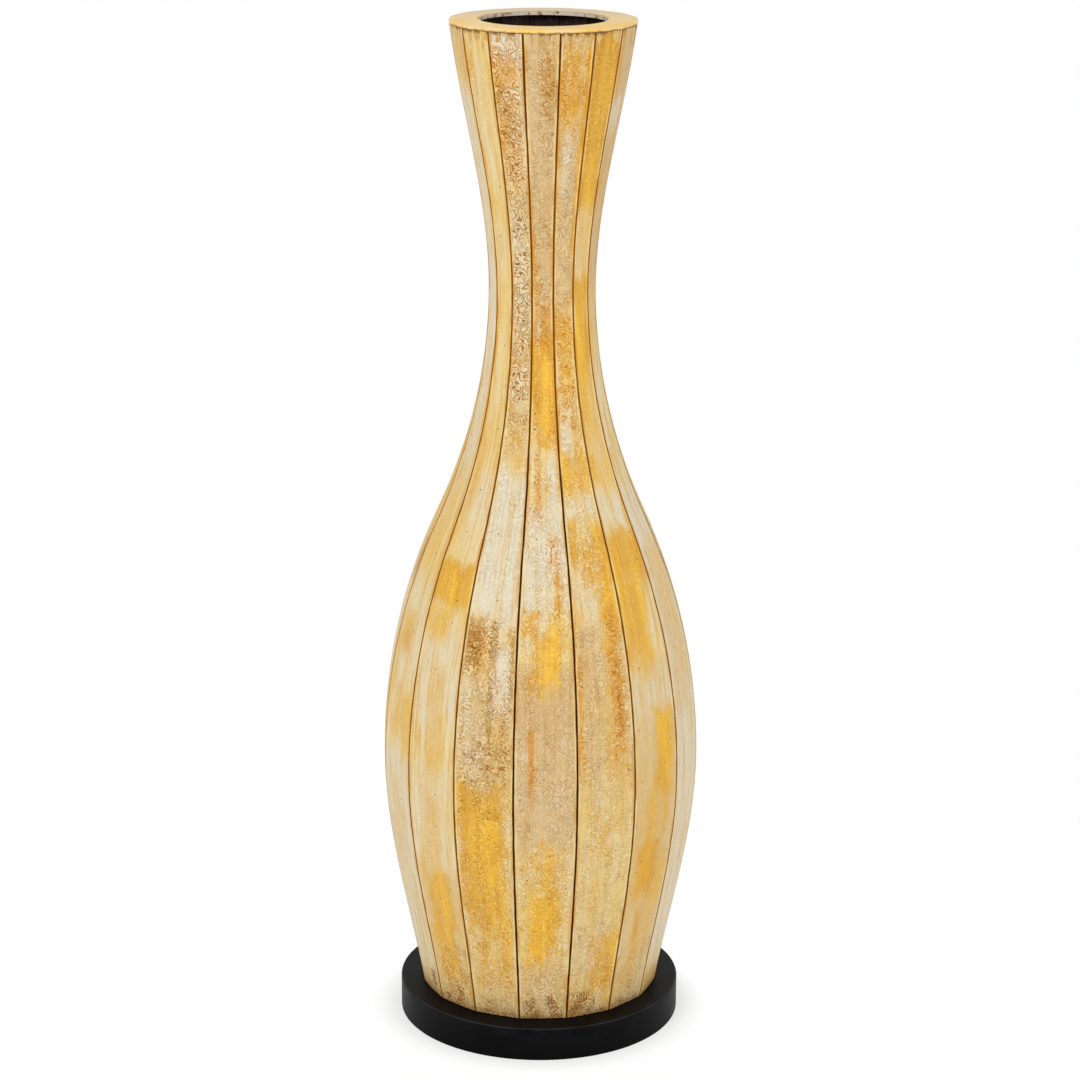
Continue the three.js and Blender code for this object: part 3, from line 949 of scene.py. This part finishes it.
def ring_finish():
    """Warm cream-gold lacquer, worn brown along its edges, with a paler inner wall and painted shade over its
    back half.
    """
    finish, recipe, shader = new_finish("rim_lacquer")
    place, radius, y, z = round_place(recipe)
    cloud = recipe.noise(place, (40, 40, 40), 4)
    speck = recipe.noise(place, (420, 420, 420), 5, 0.65)
    stain = recipe.noise(place, (150, 150, 150), 4, 0.6)
    rough = recipe.swing(stain, 0.01)
    look = recipe.mix(recipe.ramp(cloud, 0.38, 0.62), RING_LIGHT, RING_GOLD)
    # Painted shade: the back half of the ring is greyer and darker than its front
    look = recipe.mix(recipe.ramp(y, *RING_BACK_SHADE_FADE), look, RING_BACK_SHADE)
    look = recipe.coat(look, recipe.ramp(speck, 0.58, 0.7), 0.35, RING_SPECK)
    inner = recipe.ramp(recipe.add(radius, rough), RING_OPENING + RING_WEAR[0], RING_OPENING + RING_WEAR[1])
    look = recipe.coat(look, inner, 0.7, RING_WORN)
    wall = recipe.mix(recipe.ramp(stain, 0.48, 0.62), RING_WALL, RING_WALL_STAIN)
    top = RING_LEVEL + RING_THICKNESS
    on_wall = recipe.ramp(radius, RING_OPENING + 0.0004, RING_OPENING + 0.0002)
    look = recipe.coat(look, on_wall, recipe.ramp(z, top, top - RING_INNER_EASE), wall)
    low = recipe.ramp(recipe.add(z, recipe.times(rough, 0.5)), RING_LEVEL + 0.0014, RING_LEVEL + 0.0004)
    low = recipe.times(low, recipe.ramp(radius, *RING_OUTSIDE))
    look = recipe.coat(look, low, 0.75, RING_WORN)
    for centre, size in RING_KNOTS:
        look = recipe.coat(look, spot(recipe, place, centre, size), 0.9, TOP_SPECK)
    roughness = recipe.add(0.34, recipe.times(speck, 0.25))
    dress(recipe, shader, look, roughness, recipe.add(speck, stain), 0.0003, 0.5)
    shader.inputs["Specular IOR Level"].default_value = 0.3
    return finish


BLACK_PAINT = colour(4, 4, 4)
BLACK_SHEEN = colour(14, 15, 15)
BLACK_SPECK = colour(30, 31, 32)
BLACK_EDGE_HIGHLIGHT = colour(56, 56, 58)


def black_finish():
    """Satin black paint with a faint mottled sheen painted into its colour, stronger towards the top, and a
    painted highlight along the upper edge.
    """
    finish, recipe, shader = new_finish("plinth_black")
    place, radius, _, z = round_place(recipe)
    cloud = recipe.noise(place, (30, 30, 60), 5, 0.6)
    speck = recipe.noise(place, (700, 700, 700), 4, 0.6)
    # Painted sheen: a faint lighter mottle that grows towards the top
    look = recipe.coat(BLACK_PAINT, recipe.ramp(cloud, 0.34, 0.6), recipe.ramp(z, 0.0, PLINTH_THICKNESS),
                       BLACK_SHEEN)
    look = recipe.coat(look, recipe.ramp(speck, 0.58, 0.72), 0.3, BLACK_SPECK)
    edge_band = recipe.add(radius, z, recipe.swing(cloud, 0.001))
    corner = PLINTH_RADIUS + PLINTH_THICKNESS
    # Painted highlight along the rounded upper edge
    look = recipe.coat(look, recipe.ramp(edge_band, corner - 0.0016, corner - 0.0011), 0.6, BLACK_EDGE_HIGHLIGHT)
    dress(recipe, shader, look, recipe.add(0.38, recipe.times(cloud, 0.2)), speck, 0.0002, 0.4)
    shader.inputs["Specular IOR Level"].default_value = 0.055
    return finish


BOARD_BROWN = colour(96, 66, 40)
BOARD_DARK = colour(60, 38, 22)
STEEL_LIGHT = colour(190, 188, 182)
STEEL_DULL = colour(150, 148, 144)


def board_finish():
    """The floor plug's dark stained wood, with its grain along X."""
    finish, recipe, shader = new_finish("plug_board")
    place = recipe.place()
    grain = recipe.noise(place, (30, 420, 420), 5, 0.6)
    look = recipe.mix(recipe.ramp(grain, 0.35, 0.7), BOARD_BROWN, BOARD_DARK)
    dress(recipe, shader, look, recipe.add(0.6, recipe.times(grain, 0.25)), grain, 0.0004, 0.6)
    return finish


def steel_finish():
    """Zinc-plated steel with fine scratches."""
    finish, recipe, shader = new_finish("screw_steel")
    place = recipe.place()
    speck = recipe.noise(place, (900, 900, 200), 4, 0.6)
    look = recipe.mix(recipe.ramp(speck, 0.35, 0.7), STEEL_LIGHT, STEEL_DULL)
    dress(recipe, shader, look, recipe.add(0.25, recipe.times(speck, 0.3)), speck, 0.0002, 0.4)
    shader.inputs["Metallic"].default_value = 1.0
    return finish


def give_finish(obj, finish):
    obj.data.materials.clear()
    obj.data.materials.append(finish)


# How dark the joints are: each after a stave, by its number, and a share of that up the height in mm
DARK_JOINTS = {16: 1.0, 1: 1.0, 2: 0.45, 15: 0.35, 14: 0.3, 3: 0.35}
DARK_HEIGHTS = (0, 480, 560, 760, 820, 880)
DARK_SHARES = (1.0, 1.0, 0.1, 0.1, 0.6, 0.85)


def joint_darkness(number):
    """How dark the joint after a stave is, from yellow-brown to nearly black."""
    number = (number - 1) % STAVE_COUNT + 1
    return DARK_JOINTS.get(number, random.Random(number).uniform(0.25, 0.6))


def make_staves():
    stave = saw_out_stave(raise_body())
    refine_face(stave)
    smooth_up_to(degrees=40)
    across, height = measure_stave(stave)
    lay_out_flat(stave)
    carving = carving_tree()
    finish = stave_finish()
    staves = [stave] + [copy_of(stave) for _ in range(STAVE_COUNT - 1)]
    for number, piece in enumerate(staves, 1):
        piece.name = f"lacquered_stave_{number:02d}"
        dice = random.Random(number)
        for paint, patches in plan_for(number).items():
            store(piece, paint, coverage(across, height, patches, dice))
        store(piece, "shift", np.tile(np.multiply(STAVE_SHIFT, number), (len(height), 1)), "FLOAT_VECTOR")
        darkness = np.where(across < 0, joint_darkness(number - 1), joint_darkness(number))
        darkness = darkness * np.interp(height, DARK_HEIGHTS, DARK_SHARES)
        store(piece, "dark_joint", darkness)
        modify(piece, "NODES", node_group=carving)
        piece.rotation_euler.z = 2 * HALF_STAVE * (number - 1)
        bpy.ops.object.transform_apply(location=False, rotation=True, scale=False)
        give_finish(piece, finish)
        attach(piece, "root")
        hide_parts(f"stave_{number:02d}")


def make_ring():
    mouth = float(outline_at(STAVE_LENGTH))
    ring = crowned_circle("mouth_ring", RING_STEPS, mouth - RING_INSET)
    lean_round(float(turn_at(STAVE_LENGTH)))
    lift(RING_LEVEL)
    extrude_up(RING_THICKNESS)
    widen((mouth + STATIONS[-1][2] * RING_THICKNESS) / mouth)
    extrude_up(0)
    widen(RING_FIRST_OPENING)
    bpy.ops.transform.tosphere(value=1)
    use_alone(ring)
    radius = from_axis(points_of(ring))
    innermost = radius < radius.min() + RING_MARGIN
    pick(ring, "vertices", innermost)
    widen(RING_OPENING / radius[innermost].mean())
    extrude_up(-RING_THICKNESS)
    use_alone(ring)
    low = points_of(ring)[:, 2] < RING_LEVEL + NEAR
    pick(ring, "edges", low[edges_of(ring)].all(1))
    bpy.ops.mesh.bridge_edge_loops()
    face_outward()
    use_alone(ring)
    for inner, width in ((False, RING_OUTER_EASE), (True, RING_INNER_EASE)):
        points, ends = points_of(ring), edges_of(ring)
        radius = from_axis(points)
        on_top = points[:, 2] > RING_LEVEL + RING_THICKNESS - NEAR
        band = radius < RING_OPENING + RING_MARGIN / 2 if inner else radius > mouth - RING_BAND
        along = from_axis(points[ends[:, 0]] - points[ends[:, 1]]) < RING_BAND
        pick(ring, "edges", (on_top & band)[ends].all(1) & along)
        ease(width, 4)
        use_alone(ring)
    smooth_up_to(degrees=40)
    keep_flats_flat(ring)
    give_finish(ring, ring_finish())
    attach(ring, "root")
    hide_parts("rim_ring")


def turned_piece(name, rings):
    """A round solid on the Z axis through some (radius, height) rings, from the lowest up."""
    radius, level = rings[0]
    bpy.ops.mesh.primitive_circle_add(
        vertices=TURNED_SIDES, radius=radius, fill_type="NGON", location=(0, 0, level))
    piece = newest(name)
    bpy.ops.object.transform_apply(location=True, rotation=False, scale=False)
    open_whole(piece)
    for (radius, level), (next_radius, next_level) in zip(rings, rings[1:]):
        extrude_up(next_level - level)
        widen(next_radius / radius)
    face_outward()
    use_alone(piece)
    return piece


def cut_away(piece, cutter):
    modify(piece, "BOOLEAN", object=cutter, operation="DIFFERENCE", solver="EXACT")
    bpy.data.objects.remove(cutter, do_unlink=True)


def screw_place(number):
    turn = FRONT + 2 * math.pi * (number - 0.5) / SCREW_COUNT
    return (SCREW_CIRCLE * math.cos(turn), SCREW_CIRCLE * math.sin(turn), 0)


def put_at(piece, place):
    use_alone(piece)
    piece.location = place
    bpy.ops.object.transform_apply(location=True, rotation=False, scale=False)


def bore_plinth(plinth):
    """Cuts the four countersunk screw holes."""
    head = SCREW_HEAD_RADIUS + SCREW_CLEARANCE
    shank = SCREW_RADIUS + SCREW_CLEARANCE
    cone_start = SCREW_SUNK + SCREW_LAND + SCREW_CLEARANCE
    cone_end = cone_start + head - shank
    rings = ((head, -DRILL_RUNOUT), (head, cone_start), (shank, cone_end),
             (shank, PLINTH_THICKNESS + DRILL_RUNOUT))
    for number in range(1, SCREW_COUNT + 1):
        drill = turned_piece("drill", rings)
        put_at(drill, screw_place(number))
        cut_away(plinth, drill)


def make_plinth():
    bpy.ops.mesh.primitive_cylinder_add(vertices=PLINTH_SIDES, radius=PLINTH_RADIUS, depth=PLINTH_THICKNESS)
    plinth = newest("black_plinth")
    open_whole(plinth)
    lift(PLINTH_THICKNESS / 2)
    use_alone(plinth)
    for level, width, steps in ((PLINTH_THICKNESS, PLINTH_TOP_EASE, 5), (0.0, PLINTH_FOOT_EASE, 3)):
        points, ends = points_of(plinth), edges_of(plinth)
        near = np.abs(points[:, 2] - level) < NEAR
        pick(plinth, "edges", near[ends].all(1))
        ease(width, steps)
        use_alone(plinth)
    bore_plinth(plinth)
    use_alone(plinth)
    smooth_up_to(degrees=35)
    keep_flats_flat(plinth)
    give_finish(plinth, black_finish())
    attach(plinth, "root")
    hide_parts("plinth")


def make_screws():
    cone_start = SCREW_SUNK + SCREW_LAND
    cone_end = cone_start + SCREW_HEAD_RADIUS - SCREW_RADIUS
    rings = ((SCREW_HEAD_RADIUS, SCREW_SUNK), (SCREW_HEAD_RADIUS, cone_start), (SCREW_RADIUS, cone_end),
             (SCREW_RADIUS, SCREW_SUNK + SCREW_LENGTH))
    screw = turned_piece("countersunk_screw", rings)
    for wide, deep in ((DRIVE_REACH, DRIVE_WIDTH / 2), (DRIVE_WIDTH / 2, DRIVE_REACH)):
        bpy.ops.mesh.primitive_cube_add(size=2)
        driver = newest("driver")
        open_whole(driver)
        resize(wide, deep, DRIVE_DEPTH)
        lift(SCREW_SUNK)
        use_alone(driver)
        cut_away(screw, driver)
    pick(screw, "edges", np.zeros(len(screw.data.edges)))
    bpy.ops.mesh.edges_select_sharp(sharpness=math.radians(SCREW_SHARP_FROM))
    ease(SCREW_EDGE_EASE, 1)
    use_alone(screw)
    smooth_up_to(degrees=30)
    finish = steel_finish()
    for number in range(1, SCREW_COUNT + 1):
        piece = copy_of(screw) if number < SCREW_COUNT else screw
        piece.name = f"countersunk_screw_{number}"
        put_at(piece, screw_place(number))
        give_finish(piece, finish)
        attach(piece, "root")
        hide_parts(f"plinth_screw_{number}")


make_staves()
make_ring()
make_plinth()
make_screws()
give_finish(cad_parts["floor_plug"], board_finish())

# The floor, the light and the camera
FLOOR_SIZE = 60
FLOOR_GLOW = 0.985
GLOW_BY_PLINTH = 0.6
SHADOW_REACH = 0.03
AMBIENT = 0.65
CAMERA_AWAY = 2.6586
CAMERA_HEIGHT = 1.2239
CAMERA_BEARING = math.radians(-1.95)
CAMERA_PITCH = 0.28329
CAMERA_ROLL = 0.0047
PICTURE_SIDE = 1080
FOCAL_PIXELS = 3082.9
CENTRE_SHIFT_PIXELS = 1.06
SENSOR_WIDTH = 36
SIGHT_REACH = 200
FLOOR_WHITE = colour(250, 250, 250)
FLOOR_ROUGHNESS = 0.9
LAMPS_AIM = Vector((0, 0, 0.5))
LAMPS = (("key", (-1.5, -2.4, 2.3), 1.6, 33), ("fill", (2.2, -1.8, 1.5), 1.8, 15))


def seen_directly(recipe):
    """1 for rays from the camera and for mirrored and refracted ones."""
    path = recipe.node("ShaderNodeLightPath").outputs
    rays = (path[name] for name in ("Is Camera Ray", "Is Glossy Ray", "Is Transmission Ray"))
    return recipe.chain("MAXIMUM", *rays)


def lay_floor():
    bpy.ops.mesh.primitive_plane_add(size=FLOOR_SIZE)
    floor = newest("floor")
    finish, recipe, shader = new_finish("floor_white")
    recipe.feed(shader.inputs["Base Color"], FLOOR_WHITE)
    recipe.feed(shader.inputs["Roughness"], FLOOR_ROUGHNESS)
    glow = recipe.node("ShaderNodeEmission").outputs[0]
    away = recipe.vector("LENGTH", recipe.place())["Value"]
    clear = recipe.ramp(away, PLINTH_RADIUS, PLINTH_RADIUS + SHADOW_REACH)
    share = recipe.add(GLOW_BY_PLINTH, recipe.times(clear, FLOOR_GLOW - GLOW_BY_PLINTH))
    glowing = recipe.times(seen_directly(recipe), share)
    both = recipe.fill(recipe.node("ShaderNodeMixShader"), glowing, shader.outputs[0], glow)[0]
    recipe.feed(finish.node_tree.nodes["Material Output"].inputs[0], both)
    floor.data.materials.append(finish)


def light_world():
    world = bpy.data.worlds.new("studio")
    bpy.context.scene.world = world
    world.use_nodes = True
    recipe = Recipe(world.node_tree)
    background = world.node_tree.nodes["Background"]
    soft, white = (AMBIENT, AMBIENT, AMBIENT, 1), (1, 1, 1, 1)
    recipe.feed(background.inputs["Color"], recipe.mix(seen_directly(recipe), soft, white))


def put_in_scene(name, data, place):
    obj = bpy.data.objects.new(name, data)
    bpy.context.scene.collection.objects.link(obj)
    obj.matrix_world = place
    return obj


def hang_lamp(name, place, width, power):
    lamp = bpy.data.lights.new(name, "AREA")
    lamp.shape = "DISK"
    lamp.size = width
    lamp.energy = power
    look = (LAMPS_AIM - Vector(place)).to_track_quat("-Z", "Y").to_matrix().to_4x4()
    put_in_scene(name, lamp, Matrix.Translation(place) @ look)


def stand_camera():
    lens = bpy.data.cameras.new("camera")
    lens.sensor_width = SENSOR_WIDTH
    lens.lens = SENSOR_WIDTH * FOCAL_PIXELS / PICTURE_SIDE
    lens.shift_x = -CENTRE_SHIFT_PIXELS / PICTURE_SIDE
    lens.clip_end = SIGHT_REACH
    turned = Matrix.Rotation(CAMERA_BEARING, 4, "Z")
    place = Matrix.Translation((0, -CAMERA_AWAY, CAMERA_HEIGHT))
    pitch = Matrix.Rotation(math.pi / 2 - CAMERA_PITCH, 4, "X")
    roll = Matrix.Rotation(CAMERA_ROLL, 4, "Z")
    bpy.context.scene.camera = put_in_scene("camera", lens, turned @ place @ pitch @ roll)


lay_floor()
light_world()
for name, place, width, power in LAMPS:
    hang_lamp(name, place, width, power)
stand_camera()
bpy.context.scene.view_settings.view_transform = "Standard"
